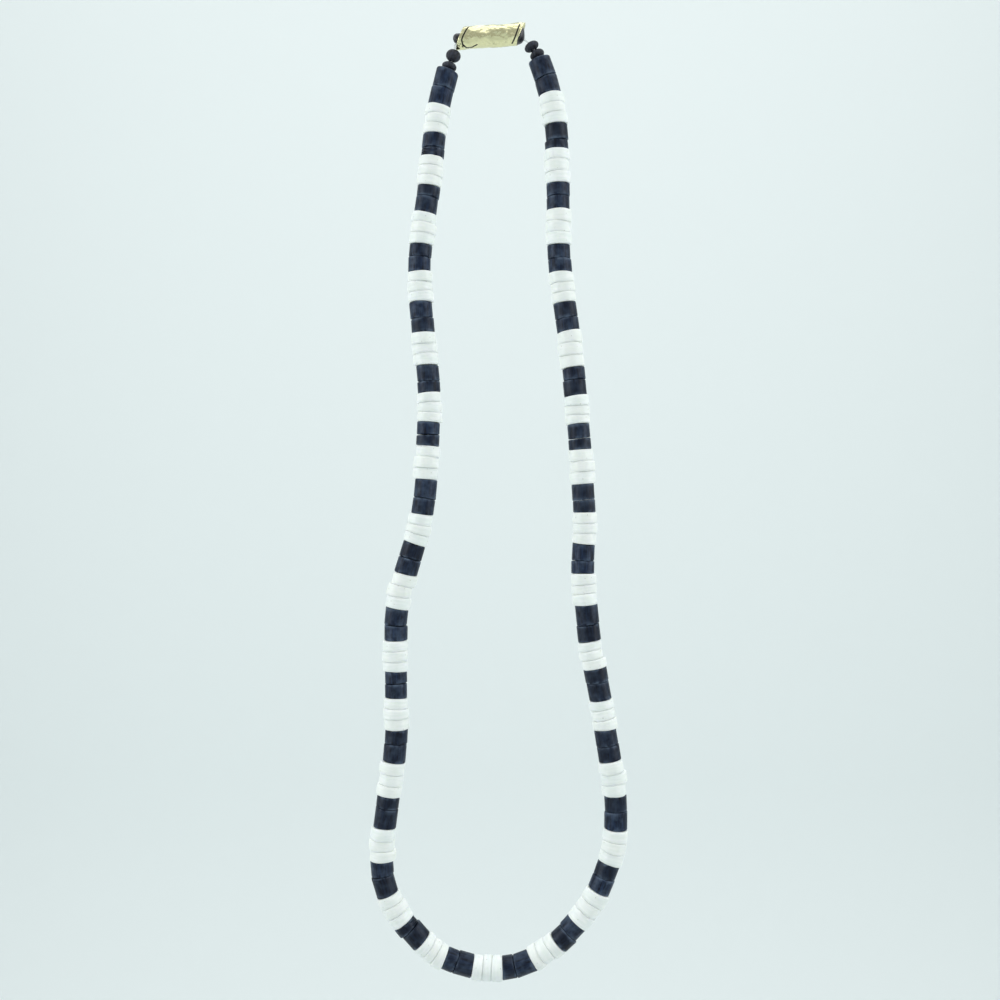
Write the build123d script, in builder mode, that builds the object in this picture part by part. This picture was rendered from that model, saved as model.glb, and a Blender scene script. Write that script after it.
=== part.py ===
from build123d import *
import math
import os
import random

# A closed string of shell and coconut beads that hangs by its clasp, in millimetres.
# The origin is the underside of the clasp's label, where the necklace hangs on a round peg.
# The string lies in the plane y = 0, and the front of the necklace looks along -Y.

# Beads
coco_diameter = 4.95
coco_length = 3.26
coco_rim = 0.18
coco_rim_turns = (0, 40, 90)
shell_diameter = 5.5
shell_length = 2.15
shell_rim = 0.28
shell_rim_turns = (0, 22, 44, 65)
bead_gap = 0.12
size_spread = 0.025
cut_lean = 3.0
bore_seam_turn = 90.0

# Shares: of a run that its bend may take, of a wall that its rounding may take, and of the bore's
# clearance by which a bead may sit off the thread's middle
bend_share = 0.45
rounding_share = 0.45
play_share = 0.5

# Thread, with its stretches from its anchors in the clasp to the first rondelle on each side. It
# leaves the clasp aslant, through a bore in each end's underside.
thread_diameter = 0.4
bore_clearance = 0.5
thread_anchor = 1.7
first_stretch_left = 2.95
first_stretch_right = 3.2
exit_radius = 0.6

# Rondelles between the clasp and the string
rondelle_diameter = 3.3
rondelle_thickness = 2.0

# Barrel clasp
clasp_tilt = 3.85
peg_to_left_tip = 8.8
barrel_diameter = 4.2
shoulder_radius = 1.6
knob_diameter = 2.1
knob_length = 1.6
knob_rim = 0.9
end_wall = 2.1
stub_diameter = 2.6
stub_length = 4.0
screw_half_length = 7.65
fit_clearance = 0.1

# Foil label wrapped round the clasp
foil_thickness = 0.15
sleeve_clearance = 0.1
sleeve_slant = 26.0
sleeve_inset_left = 1.6
sleeve_inset_right = 0.75
lap_angle = 40.0

# The thread's route as (x, z), from under the clasp's left end down the left side, round the bottom
# and up the right side to the clasp's right end. These points are chosen by hand.
ROUTE = [
    (-8.43, 0.26), (-8.7, -2.2), (-10.0, -5.3), (-12.4, -15.2), (-14.4, -34.2), (-16.5, -47.2),
    (-15.3, -62.6), (-13.8, -78.6), (-14.4, -91.6), (-15.6, -104.1), (-21.7, -123.7),
    (-21.4, -138.0), (-21.3, -153.2), (-23.8, -171.0), (-24.8, -181.6), (-21.5, -190.3),
    (-13.9, -199.1), (-4.0, -202.9), (6.2, -202.6), (15.0, -196.6), (22.6, -187.9),
    (27.0, -175.8), (27.1, -164.6), (24.8, -150.3), (21.2, -131.0), (19.7, -116.4),
    (20.3, -104.1), (18.9, -84.4), (17.4, -68.5), (14.4, -47.4), (14.4, -31.5),
    (13.9, -19.2), (12.5, -9.1), (9.6, -1.3), (7.77, 0.9),
]

# The hand-cut beads' own rhythm, one row for each repeat of two coco beads and three shells: the
# pair's length as a share of two coco beads, the first coco bead's share of the pair, and the
# shells' length as a share of three shells.
RHYTHM = [
    (1.20, 0.51, 0.92), (0.74, 0.62, 0.92), (0.89, 0.42, 1.02), (0.88, 0.47, 0.98),
    (0.99, 0.54, 1.06), (0.90, 0.58, 0.93), (0.77, 0.53, 1.07), (1.16, 0.55, 0.96),
    (1.03, 0.50, 1.15), (1.05, 0.52, 1.00), (0.86, 0.46, 1.00), (1.07, 0.44, 1.11),
    (1.05, 0.36, 1.05), (1.15, 0.43, 1.04), (0.84, 0.33, 0.91), (0.96, 0.40, 0.95),
    (1.03, 0.42, 1.01), (0.89, 0.50, 1.24), (0.97, 0.52, 1.14), (1.11, 0.53, 1.12),
    (1.05, 0.50, 0.95), (1.05, 0.57, 0.87), (1.21, 0.46, 0.99), (0.98, 0.43, 1.00),
    (0.93, 0.43, 1.11), (0.82, 0.44, 0.90), (0.93, 0.57, 1.17), (0.95, 0.47, 0.97),
    (0.91, 0.48, 1.12), (0.86, 0.50, 1.10), (0.81, 0.35, 0.98), (1.22, 0.47, 1.00),
]
SHELL_SHARES = (0.34, 0.32, 0.34)

# Rondelles from the clasp down each side: name, side, thickness as a share of the common one, and
# the angles by which it leans to the front and, seen from the front, turns off the thread.
RONDELLES = [
    ("rondelle_left_upper", "left", 1.40, 12.0, 0.0),
    ("rondelle_left_lower", "left", 1.00, 0.0, 6.0),
    ("rondelle_right_upper", "right", 1.00, 0.0, -10.0),
    ("rondelle_right_lower", "right", 1.00, 4.0, 0.0),
]

os.makedirs("parts", exist_ok=True)

bead_bore = thread_diameter + 2 * bore_clearance
front = Vector(0, -1, 0)

# Clasp places: distances run along its axis from the point above the peg, to the right
sleeve_inner_radius = barrel_diameter / 2 + sleeve_clearance
sleeve_radius = sleeve_inner_radius + foil_thickness
socket_half_length = thread_anchor + end_wall + stub_length + 2 * fit_clearance
left_tip = -peg_to_left_tip
left_shoulder = left_tip + knob_length
socket_mouth = left_tip + socket_half_length
screw_face = socket_mouth + fit_clearance
right_tip = screw_face + screw_half_length

tilt = math.radians(clasp_tilt)
clasp_plane = Plane(
    origin=(0, 0, sleeve_radius / math.cos(tilt)),
    x_dir=(math.cos(tilt), 0, math.sin(tilt)),
    z_dir=(0, -1, 0),
)
clasp_axis = Axis(clasp_plane.origin, clasp_plane.x_dir)


def on_clasp(distance):
    """The point at a distance along the clasp's axis."""
    return clasp_plane.from_local_coords((distance, 0, 0))


def clasp_section(distance):
    """The plane square to the clasp's axis at a distance along it, facing right."""
    return Plane(origin=on_clasp(distance), x_dir=front, z_dir=clasp_plane.x_dir)


def along_clasp(edge):
    """An edge's place along the clasp's axis."""
    return clasp_plane.to_local_coords(edge.center()).X


# Thread route: out of the left end, round the whole string, and in at the right end
route_points = [
    on_clasp(left_tip + thread_anchor),
    *[Vector(x, 0, z) for x, z in ROUTE],
    on_clasp(right_tip - thread_anchor),
]


def corner_radius(before, corner, after):
    """The largest arc that leaves both runs a straight middle."""
    turn = math.radians((corner - before).get_angle(after - corner))
    shorter_run = min((corner - before).length, (after - corner).length)
    return bend_share * shorter_run / math.tan(turn / 2)


corner_radii = [
    corner_radius(*route_points[i - 1:i + 2]) for i in range(1, len(route_points) - 1)
]
corner_radii[0] = exit_radius
corner_radii[-1] = exit_radius
print("Route radii:", [round(radius, 1) for radius in corner_radii])

with BuildLine() as route:
    FilletPolyline(*route_points, radius=corner_radii)
route_wire = route.wires()[0]


def at(distance):
    """The thread's centre and direction at a distance from its left end."""
    point = route_wire.position_at(distance, position_mode=PositionMode.LENGTH)
    direction = route_wire.tangent_at(distance, position_mode=PositionMode.LENGTH)
    return point, direction


with BuildPart() as thread:
    with BuildSketch(Plane(origin=at(0)[0], x_dir=front, z_dir=at(0)[1])):
        Circle(thread_diameter / 2)
    sweep(path=route_wire)
thread.part.label = "thread"
export_step(thread.part, "parts/thread.step")

thread_section = math.pi * thread_diameter ** 2 / 4
print("Thread length:", round(route_wire.length, 2))
print("Thread volume over section times length:",
      round(thread.part.volume / (thread_section * route_wire.length), 5))


# Rondelles: rounded beads, drilled like the rest of the string
def rondelle(seat, thickness):
    """A bead with an elliptic section, centred on a plane that is square to its bore."""
    profile_plane = Plane(origin=seat.origin, x_dir=seat.x_dir, z_dir=-seat.y_dir)
    with BuildPart() as bead:
        with BuildSketch(profile_plane):
            Ellipse(rondelle_diameter / 2, thickness / 2)
            with Locations((bead_bore / 2, 0)):
                Rectangle(
                    rondelle_diameter, thickness,
                    align=(Align.MIN, Align.CENTER), mode=Mode.INTERSECT,
                )
        revolve(axis=Axis(seat.origin, seat.z_dir))
    return bead.part


def half_reach(thickness, lean):
    """Half the length of thread that a leaning rondelle takes up."""
    across = rondelle_diameter / 2 * math.sin(math.radians(lean))
    through = thickness / 2 * math.cos(math.radians(lean))
    return math.hypot(across, through)


taken = {"left": first_stretch_left, "right": first_stretch_right}
for name, side, thickness_share, lean, turn_off in RONDELLES:
    thickness = rondelle_thickness * thickness_share
    reach = half_reach(thickness, max(abs(lean), abs(turn_off)))
    middle = taken[side] + reach
    taken[side] = middle + reach + bead_gap
    point, direction = at(middle if side == "left" else route_wire.length - middle)
    square = Plane(origin=point, x_dir=front.cross(direction), z_dir=direction)
    seat = square.moved(Rotation(lean, turn_off, 0))
    with BuildPart() as rondelle_bead:
        add(rondelle(seat, thickness))
    rondelle_bead.part.label = name
    export_step(rondelle_bead.part, f"parts/{name}.step")


# String: beads fill the room between the rondelles in the pattern's order, starting with a pair
string_start = taken["left"]
string_room = route_wire.length - taken["left"] - taken["right"]


def pattern(room):
    """Kinds and lengths of the whole beads that fill a length of thread, and what is left."""
    beads = []
    left_over = room
    repeat = 0
    while True:
        pair, first, shells = RHYTHM[repeat % len(RHYTHM)]
        coco_pair = pair * 2 * coco_length
        shell_trio = shells * 3 * shell_length
        row = [("coco", coco_pair * first), ("coco", coco_pair * (1 - first))]
        row += [("shell", shell_trio * share) for share in SHELL_SHARES]
        for kind, length in row:
            if length + bead_gap > left_over:
                return beads, left_over
            beads.append((kind, length))
            left_over -= length + bead_gap
        repeat += 1


draw = random.Random(18)


def cut_plane(distance):
    """The plane where two beads meet, square to the thread but for a small lean."""
    point, direction = at(distance)
    square = Plane(origin=point, x_dir=front, z_dir=direction)
    return square.moved(Rotation(draw.uniform(-cut_lean, cut_lean), draw.uniform(-cut_lean, cut_lean), 0))


def slid(cut, shift):
    """A cut plane with its origin slid sideways within the plane."""
    within = shift - cut.z_dir * shift.dot(cut.z_dir)
    return Plane(cut.origin + within, x_dir=cut.x_dir, z_dir=cut.z_dir)


def rim_steps(kind, radius):
    """The rim of a bead's end, from the flat outwards, as depths and radii of its sections."""
    turns = [math.radians(turn) for turn in (coco_rim_turns if kind == "coco" else shell_rim_turns)]
    rim = min(coco_rim if kind == "coco" else shell_rim, rounding_share * (radius - bead_bore / 2))
    arc_radius = rim / math.sin(turns[-1])
    return [
        (arc_radius * (1 - math.cos(turn)), radius - rim + arc_radius * math.sin(turn)) for turn in turns
    ]


def drilled_bead(kind, start, end):
    """A tube or disc between two cut planes, a little off the thread, with its outer rims eased."""
    diameter = coco_diameter if kind == "coco" else shell_diameter
    diameter *= 1 + draw.uniform(-size_spread, size_spread)
    chord = end.origin - start.origin
    along = chord.normalized()
    side = math.radians(draw.uniform(0, 360))
    off = draw.uniform(0, play_share * bore_clearance)
    shift = (front * math.cos(side) + front.cross(along) * math.sin(side)) * off
    foot = slid(start, shift).offset(bead_gap / 2)
    head = slid(end, shift).offset(-bead_gap / 2)
    steps = rim_steps(kind, diameter / 2)
    sections = [(foot.offset(depth), radius) for depth, radius in steps]
    sections += [(head.offset(-depth), radius) for depth, radius in reversed(steps)]
    # The drill runs one bead's length past each end
    drill = Plane(start.origin + shift - chord, x_dir=front, z_dir=chord)
    with BuildPart() as bead:
        for plane, radius in sections:
            with BuildSketch(plane):
                Circle(radius)
        loft(ruled=True)
        with BuildSketch(drill.moved(Rotation(0, 0, bore_seam_turn))):
            Circle(bead_bore / 2)
        extrude(amount=3 * chord.length, mode=Mode.SUBTRACT)
    return bead.part


beads, left_over = pattern(string_room)
spread = left_over / len(beads)
made = {"coco": [], "shell": []}
distance = string_start - bead_gap / 2
cut = cut_plane(distance)
for kind, length in beads:
    distance += length + bead_gap + spread
    next_cut = cut_plane(distance)
    made[kind].append(drilled_bead(kind, cut, next_cut))
    cut = next_cut

with BuildPart() as coco_beads:
    add(made["coco"])
coco_beads.part.label = "coco_beads"
export_step(coco_beads.part, "parts/coco_beads.step")

with BuildPart() as shell_beads:
    add(made["shell"])
shell_beads.part.label = "shell_beads"
export_step(shell_beads.part, "parts/shell_beads.step")

print("Coco beads:", len(made["coco"]), "shell beads:", len(made["shell"]))
print("Thread left over, spread between the beads:", round(left_over, 2))


def slanted_bore(anchor, corner):
    """The plane at the foot of the bore that leads the thread out of the clasp, and its depth."""
    run = corner - anchor
    foot = anchor - run.normalized() * fit_clearance
    return Plane(origin=foot, x_dir=front, z_dir=run), run.length


left_bore, left_bore_depth = slanted_bore(route_points[0], route_points[1])
right_bore, right_bore_depth = slanted_bore(route_points[-1], route_points[-2])

# Clasp socket: the left half, with a round knob on its end and the stub's socket in it
with BuildPart() as clasp_socket:
    with BuildSketch(clasp_section(left_shoulder)):
        Circle(barrel_diameter / 2)
    extrude(amount=socket_mouth - left_shoulder)
    shoulder = clasp_socket.edges().filter_by(GeomType.CIRCLE).sort_by(along_clasp)[0]
    fillet(shoulder, min(shoulder_radius, rounding_share * barrel_diameter))
    with BuildSketch(clasp_section(left_tip)):
        Circle(knob_diameter / 2)
    extrude(amount=left_shoulder + end_wall - left_tip)
    knob_edge = clasp_socket.edges().filter_by(GeomType.CIRCLE).sort_by(along_clasp)[0]
    fillet(knob_edge, min(knob_rim, rounding_share * knob_diameter))
    with BuildSketch(left_bore):
        Circle(thread_diameter / 2 + fit_clearance)
    extrude(amount=left_bore_depth, mode=Mode.SUBTRACT)
    with BuildSketch(clasp_section(socket_mouth)):
        Circle(stub_diameter / 2 + fit_clearance)
    extrude(amount=-stub_length - fit_clearance, mode=Mode.SUBTRACT)
clasp_socket.part.label = "clasp_socket"
export_step(clasp_socket.part, "parts/clasp_socket.step")

# Clasp screw: the right half, with a domed end and a plain stub where the real one has its thread
with BuildPart() as clasp_screw:
    with BuildSketch(clasp_section(screw_face)):
        Circle(barrel_diameter / 2)
    extrude(amount=right_tip - screw_face)
    shoulder = clasp_screw.edges().filter_by(GeomType.CIRCLE).sort_by(along_clasp)[-1]
    fillet(shoulder, min(shoulder_radius, rounding_share * barrel_diameter))
    with BuildSketch(clasp_section(screw_face)):
        Circle(stub_diameter / 2)
    extrude(amount=-stub_length - fit_clearance)
    with BuildSketch(right_bore):
        Circle(thread_diameter / 2 + fit_clearance)
    extrude(amount=right_bore_depth, mode=Mode.SUBTRACT)
clasp_screw.part.label = "clasp_screw"
export_step(clasp_screw.part, "parts/clasp_screw.step")


# Foil sleeve: one turn of foil, its ends cut at a slant and its last part lapped at the back
def slanted_cut(distance):
    """The plane of a slanted end, further right at the top."""
    slant = math.radians(sleeve_slant)
    facing = clasp_plane.x_dir * math.cos(slant) - clasp_plane.y_dir * math.sin(slant)
    return Plane(origin=on_clasp(distance), z_dir=facing)


sleeve_left = left_tip + sleeve_inset_left
sleeve_right = right_tip - sleeve_inset_right
slant_reach = 2 * sleeve_radius
lap_foot = sleeve_radius - foil_thickness / 2
lap_top = sleeve_radius + foil_thickness
lap_start = clasp_plane.moved(Rotation(-90 - lap_angle / 2, 0, 0))

with BuildPart() as foil_sleeve:
    with BuildSketch(clasp_section(sleeve_left - slant_reach)):
        Circle(sleeve_radius)
        Circle(sleeve_inner_radius, mode=Mode.SUBTRACT)
    extrude(amount=sleeve_right - sleeve_left + 2 * slant_reach)
    with BuildSketch(lap_start):
        with Locations(((sleeve_left + sleeve_right) / 2, lap_foot)):
            Rectangle(
                sleeve_right - sleeve_left + 2 * slant_reach, lap_top - lap_foot,
                align=(Align.CENTER, Align.MIN),
            )
    revolve(axis=clasp_axis, revolution_arc=lap_angle)
    split(bisect_by=slanted_cut(sleeve_left), keep=Keep.TOP)
    split(bisect_by=slanted_cut(sleeve_right), keep=Keep.BOTTOM)
foil_sleeve.part.label = "foil_sleeve"
export_step(foil_sleeve.part, "parts/foil_sleeve.step")

closed_length = route_wire.length - 2 * thread_anchor + right_tip - left_tip
print("Closed length of the necklace:", round(closed_length, 1))
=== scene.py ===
import math
import random

import bpy
import numpy as np
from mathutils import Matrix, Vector


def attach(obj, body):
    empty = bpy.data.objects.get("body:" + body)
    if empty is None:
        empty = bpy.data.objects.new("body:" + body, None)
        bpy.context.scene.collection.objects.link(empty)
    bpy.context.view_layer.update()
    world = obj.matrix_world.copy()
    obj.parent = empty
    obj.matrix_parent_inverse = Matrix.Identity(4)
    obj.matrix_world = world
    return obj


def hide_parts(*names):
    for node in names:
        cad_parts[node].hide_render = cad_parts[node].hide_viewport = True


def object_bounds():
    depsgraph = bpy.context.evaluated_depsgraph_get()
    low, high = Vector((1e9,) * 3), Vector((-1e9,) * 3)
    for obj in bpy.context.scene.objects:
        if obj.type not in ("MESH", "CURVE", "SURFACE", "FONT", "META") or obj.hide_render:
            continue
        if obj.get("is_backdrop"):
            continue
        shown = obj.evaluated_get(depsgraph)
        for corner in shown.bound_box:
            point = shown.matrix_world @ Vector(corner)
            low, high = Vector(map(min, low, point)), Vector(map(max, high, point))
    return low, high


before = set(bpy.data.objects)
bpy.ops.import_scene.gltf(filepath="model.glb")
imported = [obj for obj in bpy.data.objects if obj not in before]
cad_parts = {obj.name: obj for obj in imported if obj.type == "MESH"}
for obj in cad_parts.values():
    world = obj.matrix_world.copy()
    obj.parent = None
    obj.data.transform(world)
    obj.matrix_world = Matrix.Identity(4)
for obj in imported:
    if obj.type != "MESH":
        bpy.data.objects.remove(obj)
cad_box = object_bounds()

# Thread: one run of clear nylon monofilament, drawn smooth and 0.4 mm thick. It passes through
# every bead and rondelle, and its two ends are knotted out of sight in the clasp.
MM = 0.001
thread_diameter = 0.4
# The thread's ends lie this far inside the clasp's tips. It leaves the clasp aslant, and turns down
# along the string round two corners
thread_anchor = 1.7
left_exit = np.array((-8.43, 0.0, 0.26))
right_exit = np.array((7.77, 0.0, 0.9))
exit_radius = 0.6
thread_rings_per_point = 6
thread_roundness = 3
# Two faces look the same way, or opposite ways, when the cosine between them passes these
same_way = 0.9999
opposite_way = -0.9
# A sliver's area counts as at least this much, so that its direction isn't divided by nothing
least_area = 1e-12


def solids_of(node_name):
    """The loose solids of a CAD node, each as its corners in mm and its triangles."""
    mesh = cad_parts[node_name].data
    mesh.calc_loop_triangles()
    stored = np.empty(len(mesh.vertices) * 3, np.float32)
    mesh.vertices.foreach_get("co", stored)
    triangles = np.empty(len(mesh.loop_triangles) * 3, np.int32)
    mesh.loop_triangles.foreach_get("vertices", triangles)
    # A corner is stored once for each face that meets there, so corners are joined by their place
    corners, joined = np.unique(stored.reshape(-1, 3), axis=0, return_inverse=True)
    triangles = joined.ravel()[triangles].reshape(-1, 3)
    # Each corner takes the lowest label it is joined to, until every solid has one label
    label = np.arange(len(corners))
    while True:
        spread = label.copy()
        np.minimum.at(spread, triangles.ravel(), np.repeat(label[triangles].min(axis=1), 3))
        spread = spread[spread]
        if np.array_equal(spread, label):
            break
        label = spread
    solid_of = label[triangles[:, 0]]
    for solid in np.unique(solid_of):
        used, local = np.unique(triangles[solid_of == solid], return_inverse=True)
        yield corners[used].astype(float) / MM, local.reshape(-1, 3)


def unit(vector):
    """A vector of length one in the same direction."""
    return vector / np.linalg.norm(vector)


def faces_of(corners, triangles):
    """The middle, the direction and the area of each triangle."""
    a, b, c = (corners[triangles[:, i]] for i in range(3))
    crossed = np.cross(b - a, c - a)
    doubled = np.maximum(np.linalg.norm(crossed, axis=1), least_area)
    return (a + b + c) / 3, crossed / doubled[:, None], doubled / 2


def drilled_seat(corners, triangles):
    """A bead's seat: the centres and outward directions of its two flat ends, and its radius."""
    middle, facing, area = faces_of(corners, triangles)
    alike = facing @ facing.T > same_way
    flat_area = alike @ area
    first = int(np.argmax(flat_area))
    second = int(np.argmax(flat_area * (facing @ facing[first] < opposite_way)))
    ends = [
        (np.average(middle[alike[i]], axis=0, weights=area[alike[i]]), facing[i])
        for i in (first, second)
    ]
    axis = unit(ends[1][0] - ends[0][0])
    radius = np.linalg.norm(np.cross(corners - ends[0][0], axis), axis=1).max()
    return {"ends": ends, "radius": radius}


def rounded_seat(corners, triangles):
    """A rondelle's seat: the middles and directions of its two sides, and its radius."""
    middle, facing, area = faces_of(corners, triangles)
    centre = np.average(middle, axis=0, weights=area)
    # A rondelle is flattest along its bore, so that is the direction in which it spreads least
    spread = (middle - centre).T @ ((middle - centre) * area[:, None])
    axis = np.linalg.eigh(spread)[1][:, 0]
    half = np.abs((corners - centre) @ axis).max()
    radius = np.linalg.norm(np.cross(corners - centre, axis), axis=1).max()
    return {"ends": [(centre - axis * half, -axis), (centre + axis * half, axis)], "radius": radius}


def strung(seats, start):
    """The seats in the order in which the thread meets them, each with its nearer end first."""
    waiting = list(seats)
    here = start
    while waiting:
        seat = min(waiting, key=lambda s: min(np.linalg.norm(p - here) for p, _ in s["ends"]))
        waiting = [other for other in waiting if other is not seat]
        seat["ends"].sort(key=lambda end: np.linalg.norm(end[0] - here))
        here = seat["ends"][1][0]
        yield seat


def seats_of(node_name, kind, read):
    """The seats of a CAD node's solids, marked with their kind and node."""
    return [
        {**read(corners, triangles), "kind": kind, "node": node_name}
        for corners, triangles in solids_of(node_name)
    ]


rondelle_nodes = [
    "rondelle_left_upper", "rondelle_left_lower", "rondelle_right_lower", "rondelle_right_upper",
]
seats = seats_of("coco_beads", "coco", drilled_seat) + seats_of("shell_beads", "shell", drilled_seat)
for name in rondelle_nodes:
    seats += seats_of(name, "rondelle", rounded_seat)

# The clasp's middle line, from its place at x = 0 to its two tips
socket_corners, socket_triangles = next(solids_of("clasp_socket"))
screw_corners, screw_triangles = next(solids_of("clasp_screw"))
socket_middle, _, socket_area = faces_of(socket_corners, socket_triangles)
screw_middle, _, screw_area = faces_of(screw_corners, screw_triangles)
clasp_left = np.average(socket_middle, axis=0, weights=socket_area)
clasp_right = np.average(screw_middle, axis=0, weights=screw_area)
clasp_along = unit(clasp_right - clasp_left)
clasp_foot = clasp_left - clasp_along * clasp_left[0] / clasp_along[0]
left_tip = ((socket_corners - clasp_foot) @ clasp_along).min()
right_tip = ((screw_corners - clasp_foot) @ clasp_along).max()
string = list(strung(seats, clasp_foot + clasp_along * left_tip))


def bend_points(anchor, corner, onward):
    """The thread's points at a clasp end: its anchor, and the start, middle and end of its bend."""
    outward, away = unit(corner - anchor), unit(onward - corner)
    half_turn = math.acos(np.clip(outward @ away, -1, 1)) / 2
    run = exit_radius * math.tan(half_turn)
    centre = corner + unit(away - outward) * exit_radius / math.cos(half_turn)
    middle = centre + unit(corner - centre) * exit_radius
    return [anchor, corner - outward * run, middle, corner + away * run]


left_anchor = clasp_foot + clasp_along * (left_tip + thread_anchor)
right_anchor = clasp_foot + clasp_along * (right_tip - thread_anchor)
left_bend = bend_points(left_anchor, left_exit, string[0]["ends"][0][0])
right_bend = bend_points(right_anchor, right_exit, string[-1]["ends"][1][0])
# Each bead sits a little off the thread, to one side or another, so between two beads the thread
# passes through the middle of their facing ends
thread_points = left_bend + [string[0]["ends"][0][0]]
for seat, after in zip(string, string[1:]):
    thread_points.append((seat["ends"][1][0] + after["ends"][0][0]) / 2)
thread_points += [string[-1]["ends"][1][0]] + right_bend[::-1]


def placed(name, data):
    """A new object of a mesh, curve, light or camera, linked to the scene."""
    made = bpy.data.objects.new(name, data)
    bpy.context.scene.collection.objects.link(made)
    return made


thread_curve = bpy.data.curves.new("nylon_thread", "CURVE")
thread_curve.dimensions = "3D"
thread_curve.bevel_depth = thread_diameter / 2 * MM
thread_curve.bevel_resolution = thread_roundness
thread_curve.resolution_u = thread_rings_per_point
thread_curve.use_fill_caps = True
spline = thread_curve.splines.new("BEZIER")
spline.bezier_points.add(len(thread_points) - 1)
for knot, point in zip(spline.bezier_points, thread_points):
    knot.co = Vector(point) * MM
    knot.handle_left_type = knot.handle_right_type = "AUTO"
nylon_thread = placed("nylon_thread", thread_curve)


def linear(hex_colour):
    """An sRGB hex colour as linear red, green, blue and alpha."""
    shares = [int(hex_colour[i:i + 2], 16) / 255 for i in (1, 3, 5)]
    return (*[s / 12.92 if s <= 0.04045 else ((s + 0.055) / 1.055) ** 2.4 for s in shares], 1.0)


def add_node(material, kind, inputs=None, **settings):
    """Adds a node to a material or the air. An input takes a value, or another node's output."""
    made = material.node_tree.nodes.new("ShaderNode" + kind)
    for name, value in settings.items():
        setattr(made, name, value)
    for name, value in (inputs or {}).items():
        if isinstance(value, bpy.types.NodeSocket):
            material.node_tree.links.new(value, made.inputs[name])
        else:
            made.inputs[name].default_value = value
    return made


def surfaced(name, inputs):
    """A material with its surface shader, whose inputs are given as values."""
    material = bpy.data.materials.new(name)
    material.use_nodes = True
    surface = material.node_tree.nodes["Principled BSDF"]
    for key, value in inputs.items():
        surface.inputs[key].default_value = value
    return material, surface


def lead(material, output, surface, name):
    """Leads a node's output to an input of the surface shader."""
    material.node_tree.links.new(output, surface.inputs[name])


# Clear drawn nylon: almost colourless and see-through, so against a pale ground it is a faint hair
nylon_haze_size = 0.6
nylon, nylon_surface = surfaced("clear_drawn_nylon", {
    "Base Color": linear("#F6FAFA"),
    "Roughness": 0.3,
    "IOR": 1.53,
    "Transmission Weight": 0.3,
    "Alpha": 0.5,
})
nylon_place = add_node(nylon, "TexCoord").outputs["Object"]
nylon_haze = add_node(nylon, "TexNoise", {
    "Vector": nylon_place, "Scale": 1 / (nylon_haze_size * MM), "Detail": 2.0,
})
nylon_bump = add_node(nylon, "Bump", {
    "Height": nylon_haze.outputs["Fac"], "Strength": 0.3, "Distance": 0.01 * MM,
})
lead(nylon, nylon_bump.outputs["Normal"], nylon_surface, "Normal")
thread_curve.materials.append(nylon)
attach(nylon_thread, "root")
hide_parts("thread")

# Coco beads: tubes cut from coconut shell, dyed black, drilled and sanded matt. Each is cut by
# hand, so no two are quite as long or as round, and their rims stay crisp, with a few small chips.
bead_sides = 48
bore_radius = 0.7
bore_break = 0.06
# Within this share of its radius a bead is as round as its drill
drilled_share = 0.5
# The solids keep a gap from their neighbours, which the coco beads all but close
cad_gap = 0.12
coco_gap = 0.02
coco_off_square = 0.14
# A coco bead's rim, and the rings of its end, as how many rims in from the side and back from the end
coco_rim = 0.2
coco_rim_steps = ((2.0, 0.0), (1.0, 0.0), (0.3, 0.3), (0.0, 1.0), (0.0, 2.2))
coco_face_share = 0.55
coco_side_shares = (0.25, 0.42, 0.58, 0.75)
# A bead's unevenness is made of waves round it, the shorter ones lower, that lean along it
coco_unevenness = 0.045
cut_waves = (2, 3, 5, 8)
cut_fade = 0.8
cut_lean = 0.5
# The fewest and most chips on a bead, their width, and their depth as a share of it
coco_chips = (0, 4)
coco_chip_size = (0.12, 0.30)
chip_depth_share = 0.7
# A rim is rubbed paler, and given a painted highlight, this far along from the bead's end, on the outer
# tenth of its radius
wear_and_highlight_reach = 0.35
wear_and_highlight_from = 0.9
# Each bead's pattern is cut from a different part of a block this wide
pattern_block = 400
draw = random.Random(31)


def hand_cut(unevenness):
    """A bead's own unevenness, as a change of radius round it and along it, in mm."""
    waves = [
        (k, unevenness / k ** cut_fade, draw.uniform(0, math.tau), draw.uniform(-cut_lean, cut_lean))
        for k in cut_waves
    ]

    def change(turn, along):
        return sum(size * np.cos(k * turn + phase + lean * along) for k, size, phase, lean in waves)

    return change


def chips_for(count, size, length):
    """The chips on a bead's two rims: where round it, at which end and how wide."""
    return [
        (draw.uniform(0, math.tau), draw.choice((0.0, length)), draw.uniform(*size))
        for _ in range(draw.randint(*count))
    ]


def rim_wear_and_highlight(along, out, length):
    """How far a bead is rubbed paler, with a painted highlight, at places along it, which is most at
    its two outer rims.
    """
    from_rim = np.minimum(np.abs(along), np.abs(length - along))
    return np.exp(-(from_rim / wear_and_highlight_reach) ** 2) * (out > wear_and_highlight_from)


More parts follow.
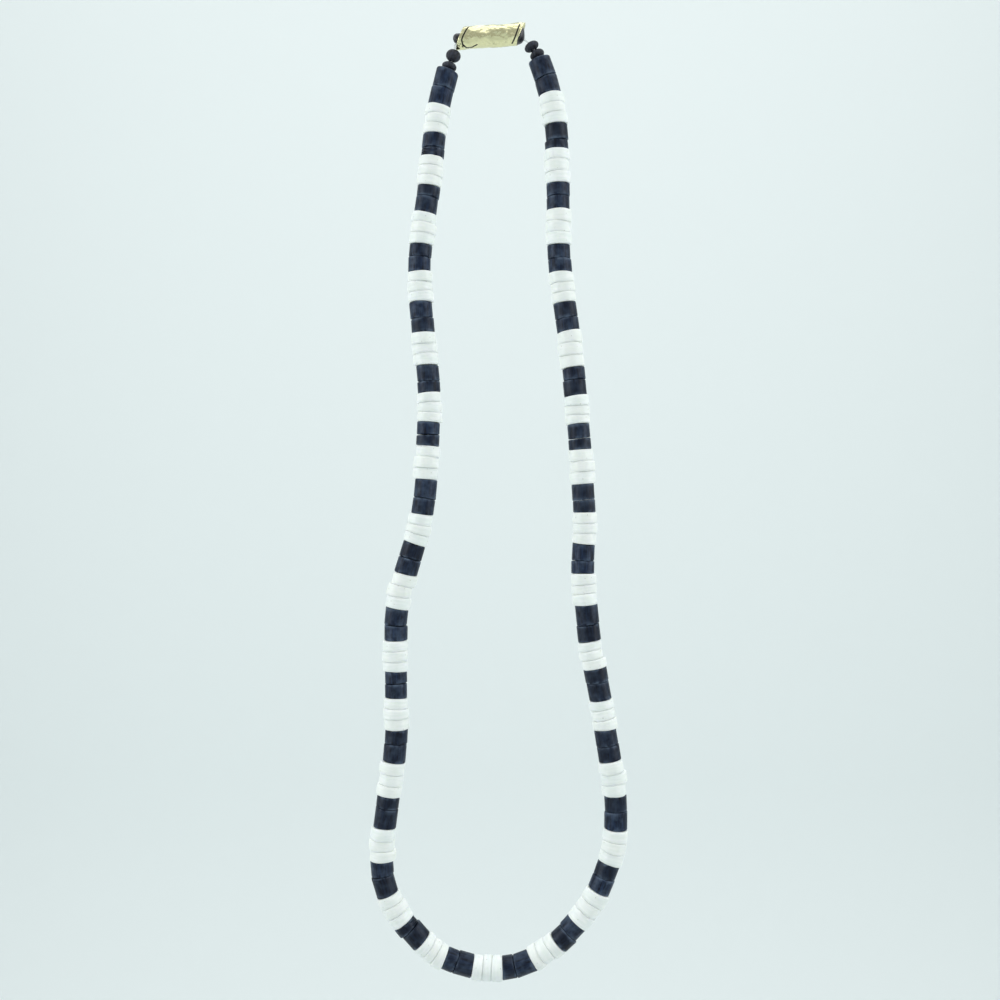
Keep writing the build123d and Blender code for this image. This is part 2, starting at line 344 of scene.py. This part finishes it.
def bead_mesh(seat, rings, gap, unevenness, off_square, chips):
    """Points, faces, own places, and rubbed rims with their painted highlight, of a bead. A ring is a
    radius, a share from the first end plane to the second, and a depth from there; the last ring closes
    onto the first in the bore.
    Each end was sawn a little off its plane, so it falls back by up to off_square on one side."""
    (start, start_facing), (end, end_facing) = seat["ends"]
    length = np.linalg.norm(end - start)
    axis = (end - start) / length
    across = unit(np.cross(axis, (0.0, 1.0, 0.0)))
    front = np.cross(across, axis)
    turn = np.arange(bead_sides) / bead_sides * math.tau
    outward = np.outer(np.cos(turn), across) + np.outer(np.sin(turn), front)
    start_slope = -(outward @ start_facing) / (axis @ start_facing)
    end_slope = -(outward @ end_facing) / (axis @ end_facing)
    grown = (cad_gap - gap) / 2
    shape = hand_cut(unevenness)
    broken = chips_for(*chips, length)
    start_fall, end_fall = [
        draw.uniform(0, off_square) * (1 + np.cos(turn - draw.uniform(0, math.tau))) / 2
        for _ in range(2)
    ]
    points, places, wear_and_highlight = [], [], []
    for radius, share, depth in rings:
        out = radius / seat["radius"]
        low = radius * start_slope - grown + start_fall * out
        high = length + radius * end_slope + grown - end_fall * out
        along = (1 - share) * low + share * high + depth
        reach = np.full(bead_sides, radius)
        if out > drilled_share:
            reach = radius + shape(turn, along) * out
            for place, edge, size in broken:
                off = np.abs((turn - place + math.pi) % math.tau - math.pi) * radius
                near = np.exp(-(off / size) ** 2 - ((along - edge) / size) ** 2)
                reach = reach - near * size * chip_depth_share
        points.append(start + outward * reach[:, None] + np.outer(along, axis))
        places.append(np.column_stack((np.cos(turn) * reach, np.sin(turn) * reach, along)))
        # Paler rubbed rims, which also paint a highlight along the rims
        wear_and_highlight.append(rim_wear_and_highlight(along, out, length))
    count = len(rings)
    faces = []
    for ring in range(count):
        for side in range(bead_sides):
            after, beyond = (ring + 1) % count, (side + 1) % bead_sides
            faces.append((
                ring * bead_sides + side, ring * bead_sides + beyond,
                after * bead_sides + beyond, after * bead_sides + side,
            ))
    cut_from = [draw.uniform(0, pattern_block) for _ in range(3)]
    return np.vstack(points), np.array(faces), np.vstack(places) + cut_from, np.concatenate(wear_and_highlight)


def smooth_mesh(name, points, faces):
    """A mesh of points in mm and faces, shaded smooth."""
    mesh = bpy.data.meshes.new(name)
    mesh.from_pydata((points * MM).tolist(), [], faces)
    mesh.polygons.foreach_set("use_smooth", [True] * len(mesh.polygons))
    mesh.update()
    return mesh


def keep_on_points(mesh, name, values):
    """Keeps a number or a place for each point of a mesh, where its material reads it."""
    kind, field = ("FLOAT_VECTOR", "vector") if values.ndim == 2 else ("FLOAT", "value")
    mesh.attributes.new(name, kind, "POINT").data.foreach_set(field, values.ravel())


def strung_piece(name, meshes, material):
    """One piece of many beads, whose points know their place in the bead, its tone, and how far it is
    rubbed paler with a painted highlight at its rims.
    """
    base = 0
    points, faces, places, tones, wears_and_highlights = [], [], [], [], []
    for bead_points, bead_faces, bead_places, bead_wear_and_highlight in meshes:
        points.append(bead_points)
        faces.append(bead_faces + base)
        places.append(bead_places)
        tones.append(np.full(len(bead_points), draw.random()))
        wears_and_highlights.append(bead_wear_and_highlight)
        base += len(bead_points)
    mesh = smooth_mesh(name, np.vstack(points), np.vstack(faces).tolist())
    keep_on_points(mesh, "own_place", np.vstack(places))
    keep_on_points(mesh, "own_tone", np.concatenate(tones))
    keep_on_points(mesh, "own_wear_and_highlight", np.concatenate(wears_and_highlights))
    mesh.materials.append(material)
    return placed(name, mesh)


def both_ends(first_end, side):
    """A bead's rings, from those of its first end and side: the second end mirrors the first."""
    return first_end + side + [(radius, 1.0, -depth) for radius, _, depth in reversed(first_end)]


def coco_rings(radius):
    """A coco bead's rings: flat ends, crisp rims and a straight side."""
    first_end = [
        (bore_radius, 0.0, bore_break),
        (bore_radius + bore_break, 0.0, 0.0),
        (coco_face_share * radius, 0.0, 0.0),
    ]
    first_end += [(radius - inward * coco_rim, 0.0, back * coco_rim) for inward, back in coco_rim_steps]
    return both_ends(first_end, [(radius, share, 0.0) for share in coco_side_shares])


# Dyed coconut shell: near black with a blue slate cast, a dull sheen and fine lengthwise fibres.
# The real fibres are about 0.1 mm wide, under half a pixel, so they are drawn three times as wide.
coco_fibre = 0.32
coco_fibre_stretch = 0.12
coco_cloud = 1.6
coco_fleck = 0.55
# The sockets of a colour mix, which share their names with others: two colours, and their mix
first_colour, second_colour, mixed_colour = 6, 7, 2
coconut, coconut_surface = surfaced("dyed_black_coconut_shell", {"IOR": 1.5, "Specular IOR Level": 0.2})
coco_place = add_node(coconut, "Attribute", attribute_name="own_place").outputs["Vector"]
coco_tone = add_node(coconut, "Attribute", attribute_name="own_tone").outputs["Fac"]
fibre_place = add_node(coconut, "Mapping", {
    "Vector": coco_place, "Scale": (1.0, 1.0, coco_fibre_stretch),
})
fibres = add_node(coconut, "TexNoise", {
    "Vector": fibre_place.outputs["Vector"], "Scale": 1 / coco_fibre, "Detail": 4.0, "Roughness": 0.6,
})
clouds = add_node(coconut, "TexNoise", {"Vector": coco_place, "Scale": 1 / coco_cloud, "Detail": 2.0})
flecks = add_node(coconut, "TexVoronoi", {
    "Vector": coco_place, "Scale": 1 / coco_fleck, "Randomness": 1.0,
})
fleck_spots = add_node(coconut, "MapRange", {
    "Value": flecks.outputs["Distance"], "From Min": 0.05, "From Max": 0.16,
    "To Min": 1.0, "To Max": 0.0,
})
fibre_share = add_node(coconut, "MapRange", {
    "Value": fibres.outputs["Fac"], "From Min": 0.35, "From Max": 0.68,
})
fibre_colour = add_node(coconut, "Mix", {
    "Factor": fibre_share.outputs["Result"],
    first_colour: linear("#050B1A"), second_colour: linear("#23334E"),
}, data_type="RGBA")
cloud_share = add_node(coconut, "MapRange", {
    "Value": clouds.outputs["Fac"], "From Min": 0.42, "From Max": 0.75, "To Max": 0.5,
})
cloud_colour = add_node(coconut, "Mix", {
    "Factor": cloud_share.outputs["Result"],
    first_colour: fibre_colour.outputs[mixed_colour], second_colour: linear("#4C5B70"),
}, data_type="RGBA")
tone_share = add_node(coconut, "MapRange", {"Value": coco_tone, "To Max": 0.6})
tone_colour = add_node(coconut, "Mix", {
    "Factor": tone_share.outputs["Result"],
    first_colour: cloud_colour.outputs[mixed_colour], second_colour: linear("#060A15"),
}, data_type="RGBA")
# The rims are rubbed paler, in broken patches, and this paler colour also paints a highlight along them
coco_wear_and_highlight = add_node(coconut, "Attribute", attribute_name="own_wear_and_highlight").outputs["Fac"]
worn_and_highlit_patches = add_node(coconut, "MapRange", {
    "Value": clouds.outputs["Fac"], "From Min": 0.4, "From Max": 0.65, "To Max": 0.75,
})
worn_and_highlit = add_node(coconut, "Math", {
    0: coco_wear_and_highlight, 1: worn_and_highlit_patches.outputs["Result"],
}, operation="MULTIPLY")
worn_and_highlight_colour = add_node(coconut, "Mix", {
    "Factor": worn_and_highlit.outputs["Value"],
    first_colour: tone_colour.outputs[mixed_colour], second_colour: linear("#58667A"),
}, data_type="RGBA")
lead(coconut, worn_and_highlight_colour.outputs[mixed_colour], coconut_surface, "Base Color")
coco_roughness = add_node(coconut, "MapRange", {
    "Value": fibres.outputs["Fac"], "From Min": 0.3, "From Max": 0.7, "To Min": 0.46, "To Max": 0.32,
})
lead(coconut, coco_roughness.outputs["Result"], coconut_surface, "Roughness")
fibre_bump = add_node(coconut, "Bump", {
    "Height": fibres.outputs["Fac"], "Strength": 0.8, "Distance": 0.05 * MM,
})
fleck_bump = add_node(coconut, "Bump", {
    "Height": fleck_spots.outputs["Result"], "Strength": 0.5, "Distance": 0.03 * MM,
    "Normal": fibre_bump.outputs["Normal"],
}, invert=True)
lead(coconut, fleck_bump.outputs["Normal"], coconut_surface, "Normal")

coco_piece = strung_piece("coco_tubes", [
    bead_mesh(
        seat, coco_rings(seat["radius"]), coco_gap, coco_unevenness, coco_off_square,
        (coco_chips, coco_chip_size),
    )
    for seat in string if seat["kind"] == "coco"
], coconut)
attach(coco_piece, "root")
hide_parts("coco_beads")

# Shell beads: discs sawn from white shell, drilled and tumbled until their rims are round. They
# are strung in threes between the black pairs.
shell_gap = 0.005
shell_unevenness = 0.1
shell_off_square = 0.02
shell_chips = (0, 2)
shell_chip_size = (0.12, 0.30)
# A shell bead's rim is a quarter oval, so wide on the flat end and so deep down the side
shell_rim = 0.24
shell_rim_depth = 0.55
shell_rim_turns = (0, 18, 36, 54, 72, 90)
shell_face_share = 0.6


def shell_rings(radius):
    """A shell bead's rings: flat ends, round rims and a short straight side."""
    foot = radius - shell_rim
    first_end = [
        (bore_radius, 0.0, bore_break),
        (bore_radius + bore_break, 0.0, 0.0),
        (shell_face_share * radius, 0.0, 0.0),
    ]
    for degrees in shell_rim_turns:
        turn = math.radians(degrees)
        across, back = shell_rim * math.sin(turn), shell_rim_depth * (1 - math.cos(turn))
        first_end.append((foot + across, 0.0, back))
    return both_ends(first_end, [(radius, 0.5, 0.0)])


# Tumbled white shell: satin and faintly see-through, in thin layers that show as warm and cool
# lines across the disc, with a rare brown speck or pit
shell_layer = 0.5
shell_layer_stretch = 0.18
shell_cloud = 2.4
shell_speck = 1.4
shell_speck_strength = 0.55
shell, shell_surface = surfaced("tumbled_white_shell", {
    "IOR": 1.53,
    "Specular IOR Level": 0.38,
    "Subsurface Weight": 0.6,
    "Subsurface Radius": (0.9, 0.9, 0.8),
    "Subsurface Scale": 1.0 * MM,
    "Coat Weight": 0.12,
    "Coat Roughness": 0.3,
})
shell_place = add_node(shell, "Attribute", attribute_name="own_place").outputs["Vector"]
shell_tone = add_node(shell, "Attribute", attribute_name="own_tone").outputs["Fac"]
layer_place = add_node(shell, "Mapping", {
    "Vector": shell_place, "Scale": (shell_layer_stretch, shell_layer_stretch, 1.0),
})
layers = add_node(shell, "TexNoise", {
    "Vector": layer_place.outputs["Vector"], "Scale": 1 / shell_layer, "Detail": 3.0, "Roughness": 0.55,
})
shell_clouds = add_node(shell, "TexNoise", {
    "Vector": shell_place, "Scale": 1 / shell_cloud, "Detail": 3.0,
})
specks = add_node(shell, "TexVoronoi", {"Vector": shell_place, "Scale": 1 / shell_speck})
speck_spots = add_node(shell, "MapRange", {
    "Value": specks.outputs["Distance"], "From Min": 0.03, "From Max": 0.11,
    "To Min": 1.0, "To Max": 0.0,
})
layer_share = add_node(shell, "MapRange", {
    "Value": layers.outputs["Fac"], "From Min": 0.38, "From Max": 0.62,
})
layer_colour = add_node(shell, "Mix", {
    "Factor": layer_share.outputs["Result"],
    first_colour: linear("#F5F9F7"), second_colour: linear("#EBF2EE"),
}, data_type="RGBA")
shell_cloud_share = add_node(shell, "MapRange", {
    "Value": shell_clouds.outputs["Fac"], "From Min": 0.45, "From Max": 0.75, "To Max": 0.7,
})
shell_cloud_colour = add_node(shell, "Mix", {
    "Factor": shell_cloud_share.outputs["Result"],
    first_colour: layer_colour.outputs[mixed_colour], second_colour: linear("#E9F1ED"),
}, data_type="RGBA")
shell_tone_share = add_node(shell, "MapRange", {"Value": shell_tone, "To Max": 0.35})
shell_tone_colour = add_node(shell, "Mix", {
    "Factor": shell_tone_share.outputs["Result"],
    first_colour: shell_cloud_colour.outputs[mixed_colour], second_colour: linear("#F3F4EC"),
}, data_type="RGBA")
speck_share = add_node(shell, "Math", {
    0: speck_spots.outputs["Result"], 1: shell_speck_strength,
}, operation="MULTIPLY")
speck_colour = add_node(shell, "Mix", {
    "Factor": speck_share.outputs["Value"],
    first_colour: shell_tone_colour.outputs[mixed_colour], second_colour: linear("#8E8770"),
}, data_type="RGBA")
lead(shell, speck_colour.outputs[mixed_colour], shell_surface, "Base Color")
shell_roughness = add_node(shell, "MapRange", {
    "Value": layers.outputs["Fac"], "To Min": 0.36, "To Max": 0.52,
})
lead(shell, shell_roughness.outputs["Result"], shell_surface, "Roughness")
layer_bump = add_node(shell, "Bump", {
    "Height": layers.outputs["Fac"], "Strength": 0.6, "Distance": 0.05 * MM,
})
speck_bump = add_node(shell, "Bump", {
    "Height": speck_spots.outputs["Result"], "Strength": 0.6, "Distance": 0.06 * MM,
    "Normal": layer_bump.outputs["Normal"],
}, invert=True)
lead(shell, speck_bump.outputs["Normal"], shell_surface, "Normal")

shell_piece = strung_piece("shell_discs", [
    bead_mesh(
        seat, shell_rings(seat["radius"]), shell_gap, shell_unevenness, shell_off_square,
        (shell_chips, shell_chip_size),
    )
    for seat in string if seat["kind"] == "shell"
], shell)
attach(shell_piece, "root")
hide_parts("shell_beads")

# Rondelles: four small rounded beads of turned wood, dyed black and waxed, two at each end of the
# string. They keep the wide cut beads clear of the clasp.
rondelle_steps = 14
rondelle_unevenness = 0.04
# The fewest and most pits in a rondelle, and their width
rondelle_pits = ((1, 3), (0.25, 0.4))


def rondelle_rings(seat):
    """A rondelle's rings, round its elliptic section from one mouth of the bore to the other."""
    (start, _), (end, _) = seat["ends"]
    mouth = math.asin(bore_radius / seat["radius"])
    half = np.linalg.norm(end - start) / 2 / math.cos(mouth)
    turns = np.linspace(mouth, math.pi - mouth, rondelle_steps)
    return [(seat["radius"] * math.sin(turn), 0.5, -half * math.cos(turn)) for turn in turns]


# Dyed and waxed wood: black with a navy cast, nearly matt, its open pores and tool marks showing
wood_pore = 0.45
wood_pore_stretch = 0.35
wood, wood_surface = surfaced("dyed_waxed_wood", {"IOR": 1.5})
wood_place = add_node(wood, "Attribute", attribute_name="own_place").outputs["Vector"]
pore_place = add_node(wood, "Mapping", {"Vector": wood_place, "Scale": (1.0, 1.0, wood_pore_stretch)})
pores = add_node(wood, "TexNoise", {
    "Vector": pore_place.outputs["Vector"], "Scale": 1 / wood_pore, "Detail": 3.0, "Roughness": 0.6,
})
pore_share = add_node(wood, "MapRange", {
    "Value": pores.outputs["Fac"], "From Min": 0.38, "From Max": 0.66,
})
wood_colour = add_node(wood, "Mix", {
    "Factor": pore_share.outputs["Result"],
    first_colour: linear("#0B0E17"), second_colour: linear("#262C3D"),
}, data_type="RGBA")
lead(wood, wood_colour.outputs[mixed_colour], wood_surface, "Base Color")
wood_roughness = add_node(wood, "MapRange", {
    "Value": pores.outputs["Fac"], "To Min": 0.75, "To Max": 0.5,
})
lead(wood, wood_roughness.outputs["Result"], wood_surface, "Roughness")
pore_bump = add_node(wood, "Bump", {
    "Height": pores.outputs["Fac"], "Strength": 1.0, "Distance": 0.16 * MM,
})
lead(wood, pore_bump.outputs["Normal"], wood_surface, "Normal")

for seat in string:
    if seat["kind"] == "rondelle":
        bead = bead_mesh(seat, rondelle_rings(seat), cad_gap, rondelle_unevenness, 0.0, rondelle_pits)
        rondelle = strung_piece("turned_" + seat["node"], [bead], wood)
        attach(rondelle, "root")
        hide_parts(seat["node"])

# Barrel clasp: two turned brass halves, lacquered black, that screw together under the label. The
# left one ends in a small round knob and the right one in a dome, and the thread comes out of the
# underside of each. They are the part's own solids, dressed in their lacquer.

# Black lacquer on brass: a satin black, slightly uneven like orange peel, which blurs what it mirrors
orange_peel_size = 0.35
lacquer, lacquer_surface = surfaced("black_lacquered_brass", {
    "IOR": 1.5,
    "Coat Weight": 0.4,
    "Coat Roughness": 0.25,
})
lacquer_place = add_node(lacquer, "TexCoord").outputs["Object"]
orange_peel = add_node(lacquer, "TexNoise", {
    "Vector": lacquer_place, "Scale": 1 / (orange_peel_size * MM), "Detail": 3.0,
})
lacquer_colour = add_node(lacquer, "Mix", {
    "Factor": orange_peel.outputs["Fac"],
    first_colour: linear("#0C0D13"), second_colour: linear("#23242F"),
}, data_type="RGBA")
lead(lacquer, lacquer_colour.outputs[mixed_colour], lacquer_surface, "Base Color")
lacquer_roughness = add_node(lacquer, "MapRange", {
    "Value": orange_peel.outputs["Fac"], "To Min": 0.3, "To Max": 0.5,
})
lead(lacquer, lacquer_roughness.outputs["Result"], lacquer_surface, "Roughness")
lacquer_bump = add_node(lacquer, "Bump", {
    "Height": orange_peel.outputs["Fac"], "Strength": 0.4, "Distance": 0.03 * MM,
})
lead(lacquer, lacquer_bump.outputs["Normal"], lacquer_surface, "Normal")
for name in ("clasp_socket", "clasp_screw"):
    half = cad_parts[name]
    half.data.materials.clear()
    half.data.materials.append(lacquer)

# Foil sleeve: a strip of pale gold metallised film, wrapped once round the closed clasp and lapped
# at the back. It was cut at a slant, it is crinkled, and a thin black line is printed round it.
foil_thickness = 0.1
foil_radius = 2.27
foil_slant = 26.0
foil_cell = 0.16
# The lap, in degrees round the clasp: how long it is, over how much it rises, and how high in mm
lap_angle = 40.0
lap_rise = 14.0
foil_lift = 0.14
# Crinkles, as their height and span in mm. Each size is laid in some directions, its waves are bent
# by slower ones, all are eased together, and none is deeper than a dent may be
foil_crinkles = ((0.055, 4.6), (0.036, 2.6), (0.016, 1.3), (0.006, 0.6))
crinkle_directions = 3
crinkle_bend = 1.3
crinkle_bend_rate = 0.37
crinkle_ease = 1.6
foil_dent = 0.08
# The printed line, given as (mm along the clasp, degrees up from the front)
border_half_width = 0.17
border_softness = 0.03
far_from_border = 9.0
border_lines = [
    [
        (-5.2, 43.3), (-6.5, -7.9), (-6.93, -30.8), (-6.77, -55.5), (-5.94, -78.0), (-4.77, -79.4),
        (-3.64, -64.6),
    ],
    [(5.95, 35.8), (5.09, -15.7), (4.06, -70.5)],
]

clasp_up = np.cross(clasp_along, (0.0, 1.0, 0.0))
clasp_front = np.array((0.0, -1.0, 0.0))
lean = math.tan(math.radians(foil_slant))
from_foot = next(solids_of("foil_sleeve"))[0] - clasp_foot
sleeve_level = from_foot @ clasp_along - from_foot @ clasp_up * lean
sleeve_left, sleeve_right = sleeve_level.min(), sleeve_level.max()
columns = int((sleeve_right - sleeve_left) / foil_cell)
rows = int(math.radians(360 + lap_angle) * foil_radius / foil_cell)


def crinkle(along, turn):
    """How far the foil stands off its smooth roll, in mm, at places along it and round it."""
    around = turn * foil_radius
    height = np.zeros_like(along)
    for size, span in foil_crinkles:
        for _ in range(crinkle_directions):
            facing = draw.uniform(0, math.pi)
            place = (along * math.cos(facing) + around * math.sin(facing)) / span * math.tau
            bend = crinkle_bend * np.sin(place * crinkle_bend_rate)
            height += size * np.sin(place + draw.uniform(0, math.tau) + bend)
    return np.maximum(height / crinkle_ease, -foil_dent)


def border_distance(along, degrees):
    """The distance from places on the foil to the printed line, in mm."""
    here = np.stack((along, np.radians(degrees) * foil_radius), axis=-1)
    nearest = np.full(along.shape, far_from_border)
    for line in border_lines:
        corners = [np.array((a, math.radians(d) * foil_radius)) for a, d in line]
        for start, end in zip(corners, corners[1:]):
            run = end - start
            share = np.clip(((here - start) @ run) / (run @ run), 0, 1)
            off = np.linalg.norm(here - start - share[..., None] * run, axis=-1)
            nearest = np.minimum(nearest, off)
    return nearest


def foil_sheet():
    """The foil's outer and inner points in rows, their flat places, and how far the ink is."""
    rolled = np.linspace(0, 360 + lap_angle, rows + 1)
    # The end of the roll rises onto its start in an eased step
    rise = np.clip((rolled - 360 + lap_rise) / lap_rise, 0, 1)
    rise = rise * rise * (3 - 2 * rise)
    # The roll starts behind, past the middle of the lap, and goes up over the top to the front
    turn = np.radians(180 + lap_angle / 2 - rolled)[:, None]
    share = np.linspace(0, 1, columns + 1)[None, :]
    height = foil_radius * np.sin(turn)
    along = sleeve_left + share * (sleeve_right - sleeve_left) + height * lean
    turn = np.repeat(turn, columns + 1, axis=1)
    lift = crinkle(along, turn)
    outward = np.cos(turn)[..., None] * clasp_front + np.sin(turn)[..., None] * clasp_up
    points = []
    for side in (1, -1):
        radius = foil_radius + (foil_lift * rise)[:, None] + lift + side * foil_thickness / 2
        points.append(clasp_foot + along[..., None] * clasp_along + outward * radius[..., None])
    # The printed line is placed within half a turn of the front, up or down
    seen_degrees = (np.degrees(turn) + 180) % 360 - 180
    flat_place = np.stack((along, turn * foil_radius, np.zeros_like(along)), axis=-1)
    return points, flat_place, border_distance(along, seen_degrees)


(outer, inner), foil_place, foil_ink = foil_sheet()
wide, tall = columns + 1, rows + 1
foil_faces = []
for row in range(rows):
    for column in range(columns):
        a = row * wide + column
        quad = (a, a + 1, a + wide + 1, a + wide)
        foil_faces.append(quad)
        foil_faces.append(tuple(index + wide * tall for index in reversed(quad)))
# The edges between the outer and inner points, once round the sheet
rim = list(range(wide))
rim += [row * wide + wide - 1 for row in range(1, tall)]
rim += [(tall - 1) * wide + column for column in range(wide - 2, -1, -1)]
rim += [row * wide for row in range(tall - 2, 0, -1)]
for here, after in zip(rim, rim[1:] + rim[:1]):
    foil_faces.append((after, here, here + wide * tall, after + wide * tall))
foil_points = np.vstack((outer.reshape(-1, 3), inner.reshape(-1, 3)))
foil_mesh = smooth_mesh("foil_label", foil_points, foil_faces)
keep_on_points(foil_mesh, "foil_place", np.vstack([foil_place.reshape(-1, 3)] * 2))
# Only the outer face is printed
unprinted = np.full(foil_ink.size, far_from_border)
keep_on_points(foil_mesh, "from_border", np.concatenate((foil_ink.ravel(), unprinted)))
foil_label = placed("foil_label", foil_mesh)

# Metallised film: bright pale gold, smooth but crinkled, so it mirrors the light softly in patches
foil_grain_size = 0.45
foil_dent_span = 2.3
foil, foil_surface = surfaced("pale_gold_metallised_film", {"Metallic": 1.0})
foil_where = add_node(foil, "Attribute", attribute_name="foil_place").outputs["Vector"]
ink_distance = add_node(foil, "Attribute", attribute_name="from_border").outputs["Fac"]
foil_grain = add_node(foil, "TexNoise", {
    "Vector": foil_where, "Scale": 1 / foil_grain_size, "Detail": 4.0, "Roughness": 0.6,
})
ink = add_node(foil, "MapRange", {
    "Value": ink_distance,
    "From Min": border_half_width - border_softness, "From Max": border_half_width + border_softness,
    "To Min": 1.0, "To Max": 0.0,
})
gold_colour = add_node(foil, "Mix", {
    "Factor": foil_grain.outputs["Fac"],
    first_colour: linear("#E2DCA4"), second_colour: linear("#F0EBC6"),
}, data_type="RGBA")
inked_colour = add_node(foil, "Mix", {
    "Factor": ink.outputs["Result"],
    first_colour: gold_colour.outputs[mixed_colour], second_colour: linear("#1D1C12"),
}, data_type="RGBA")
lead(foil, inked_colour.outputs[mixed_colour], foil_surface, "Base Color")
bare_metal = add_node(foil, "Math", {0: 1.0, 1: ink.outputs["Result"]}, operation="SUBTRACT")
lead(foil, bare_metal.outputs["Value"], foil_surface, "Metallic")
foil_roughness = add_node(foil, "MapRange", {
    "Value": foil_grain.outputs["Fac"],
    "From Min": 0.3, "From Max": 0.7, "To Min": 0.14, "To Max": 0.28,
})
lead(foil, foil_roughness.outputs["Result"], foil_surface, "Roughness")
foil_dents = add_node(foil, "TexNoise", {
    "Vector": foil_where, "Scale": 1 / foil_dent_span, "Detail": 2.0,
})
dent_bump = add_node(foil, "Bump", {
    "Height": foil_dents.outputs["Fac"], "Strength": 0.9, "Distance": 0.8 * MM,
})
foil_bump = add_node(foil, "Bump", {
    "Height": foil_grain.outputs["Fac"], "Strength": 0.5, "Distance": 0.03 * MM,
    "Normal": dent_bump.outputs["Normal"],
})
lead(foil, foil_bump.outputs["Normal"], foil_surface, "Normal")
foil_mesh.materials.append(foil)
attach(foil_label, "root")
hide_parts("foil_sleeve")

# Studio: a pale sweep of painted board well behind and below the hanging necklace, lit softly from
# both sides and from above, with the side towards the camera left darker.
sweep_depth = 480.0
sweep_drop = 580.0
sweep_reach = 1600.0
sweep_width = 5200.0
sweep_height = 1500.0
sweep_bend = 300.0
sweep_steps = 16
sweep_outline = [(-sweep_reach, -sweep_drop), (sweep_depth - sweep_bend, -sweep_drop)]
for step in range(1, sweep_steps):
    turn = math.radians(90 * step / sweep_steps)
    sweep_outline.append((
        sweep_depth - sweep_bend + sweep_bend * math.sin(turn),
        -sweep_drop + sweep_bend * (1 - math.cos(turn)),
    ))
sweep_outline += [(sweep_depth, sweep_bend - sweep_drop), (sweep_depth, sweep_height)]
sweep_points = np.array([
    (x, y, z) for y, z in sweep_outline for x in (-sweep_width / 2, sweep_width / 2)
])
sweep_faces = [(i, i + 1, i + 3, i + 2) for i in range(0, len(sweep_points) - 2, 2)]
sweep_mesh = smooth_mesh("paper_sweep", sweep_points, sweep_faces)
sweep = placed("paper_sweep", sweep_mesh)
# Painted board: very pale and cool, and quite matt, so no lamp is mirrored in it
board, _ = surfaced("pale_painted_board", {"Base Color": linear("#EAF0F0"), "Roughness": 0.9})
sweep_mesh.materials.append(board)
sweep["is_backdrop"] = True


def softbox(name, place, aim, size, power, colour):
    """A rectangular area light at a place in mm, turned to a point."""
    lamp = bpy.data.lights.new(name, "AREA")
    lamp.shape = "RECTANGLE"
    lamp.size, lamp.size_y = size[0] * MM, size[1] * MM
    lamp.energy = power
    lamp.color = linear(colour)[:3]
    made = placed(name, lamp)
    made.location = Vector(place) * MM
    made.rotation_euler = (Vector(aim) - Vector(place)).to_track_quat("-Z", "Y").to_euler()


necklace_middle = (0.0, 0.0, -100.0)
board_middle = (0.0, 480.0, -150.0)
softbox("left_softbox", (-420, -160, -20), necklace_middle, (260, 480), 0.86, "#FBFEFF")
softbox("right_softbox", (420, -160, 20), necklace_middle, (260, 480), 0.86, "#FBFEFF")
softbox("top_softbox", (0, -60, 420), necklace_middle, (520, 360), 0.5, "#FFFFFF")
softbox("board_light", (0, 180, 520), board_middle, (1700, 200), 1.36, "#FFFFFF")

# The air is evenly bright, but for the unlit room in front of the necklace, which shows as a
# darker band down the middle of the dark beads and along the foil
room_light = 0.5
air_light = 0.8
# The room fades out between these shares of a direction: to the side, up or down, and to the front
room_side = (0.45, 0.8)
room_level = (0.4, 0.75)
room_front = (-0.1, -0.4)
world = bpy.data.worlds.new("studio_air")
bpy.context.scene.world = world
world.use_nodes = True
air = world.node_tree.nodes["Background"]
air.inputs["Color"].default_value = linear("#F4FAFA")
direction = add_node(world, "TexCoord").outputs["Generated"]
towards = add_node(world, "SeparateXYZ", {"Vector": direction})
sideways = add_node(world, "Math", {0: towards.outputs["X"]}, operation="ABSOLUTE")
upright = add_node(world, "Math", {0: towards.outputs["Z"]}, operation="ABSOLUTE")
near_middle = add_node(world, "MapRange", {
    "Value": sideways.outputs["Value"], "From Min": room_side[0], "From Max": room_side[1],
    "To Min": 1.0, "To Max": 0.0,
})
near_level = add_node(world, "MapRange", {
    "Value": upright.outputs["Value"], "From Min": room_level[0], "From Max": room_level[1],
    "To Min": 1.0, "To Max": 0.0,
})
in_front = add_node(world, "MapRange", {
    "Value": towards.outputs["Y"], "From Min": room_front[0], "From Max": room_front[1],
})
ahead = add_node(world, "Math", {
    0: near_middle.outputs["Result"], 1: near_level.outputs["Result"],
}, operation="MULTIPLY")
room = add_node(world, "Math", {
    0: ahead.outputs["Value"], 1: in_front.outputs["Result"],
}, operation="MULTIPLY")
brightness = add_node(world, "MapRange", {
    "Value": room.outputs["Value"], "To Min": air_light, "To Max": room_light,
})
world.node_tree.links.new(brightness.outputs["Result"], air.inputs["Strength"])

# The camera stands straight in front, level with the middle of the necklace
camera_place = (1.54, -242.0, -99.7)
focal_share = 1.1
sensor_width = 36.0
camera_data = bpy.data.cameras.new("photo_camera")
camera_data.sensor_width = sensor_width
camera_data.lens = focal_share * sensor_width
camera_data.clip_start, camera_data.clip_end = 0.01, 20.0
camera = placed("photo_camera", camera_data)
camera.location = Vector(camera_place) * MM
camera.rotation_euler = (math.radians(90), 0, 0)
bpy.context.scene.camera = camera
bpy.context.scene.view_settings.view_transform = "Standard"

boxes = {"cad": cad_box, "visual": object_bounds()}
{name: [list(corner) for corner in box] for name, box in boxes.items()}
